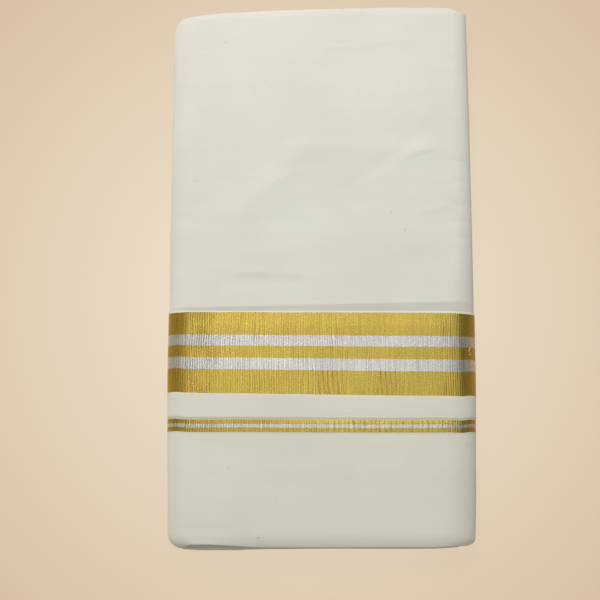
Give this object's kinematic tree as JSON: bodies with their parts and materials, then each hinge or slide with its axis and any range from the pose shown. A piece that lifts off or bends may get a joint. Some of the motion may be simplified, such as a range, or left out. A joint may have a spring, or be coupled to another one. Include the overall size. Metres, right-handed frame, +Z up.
{
  "type": "folded dhoti",
  "caption": "Cotton dhoti pressed into a flat folded pack, its gold and silver border lying across the front as a flap.",
  "frame": {"origin": "centre of the pack's box on the surface it rests on", "axes": "+X towards the rolled fold at the right of the front, +Y towards the plain end's fold, +Z up from the surface"},
  "size_m": [0.243, 0.4376, 0.0277],
  "materials": {
    "cotton": "fine plain weave, matt, pressed",
    "border_cotton": "the same cotton with woven gold and silver zari stripes, metallic and ribbed",
    "inner_cotton": "fine plain weave, matt, seen on its folded edges"
  },
  "bodies": {
    "root": {"front_panel": "cotton", "back_panel": "cotton", "front_flap": "border_cotton", "back_flap": "border_cotton", "inner_layers": "inner_cotton", "second_fold": "inner_cotton", "cloth_end_upper": "inner_cotton", "cloth_end_lower": "inner_cotton"}
  },
  "joints": []
}
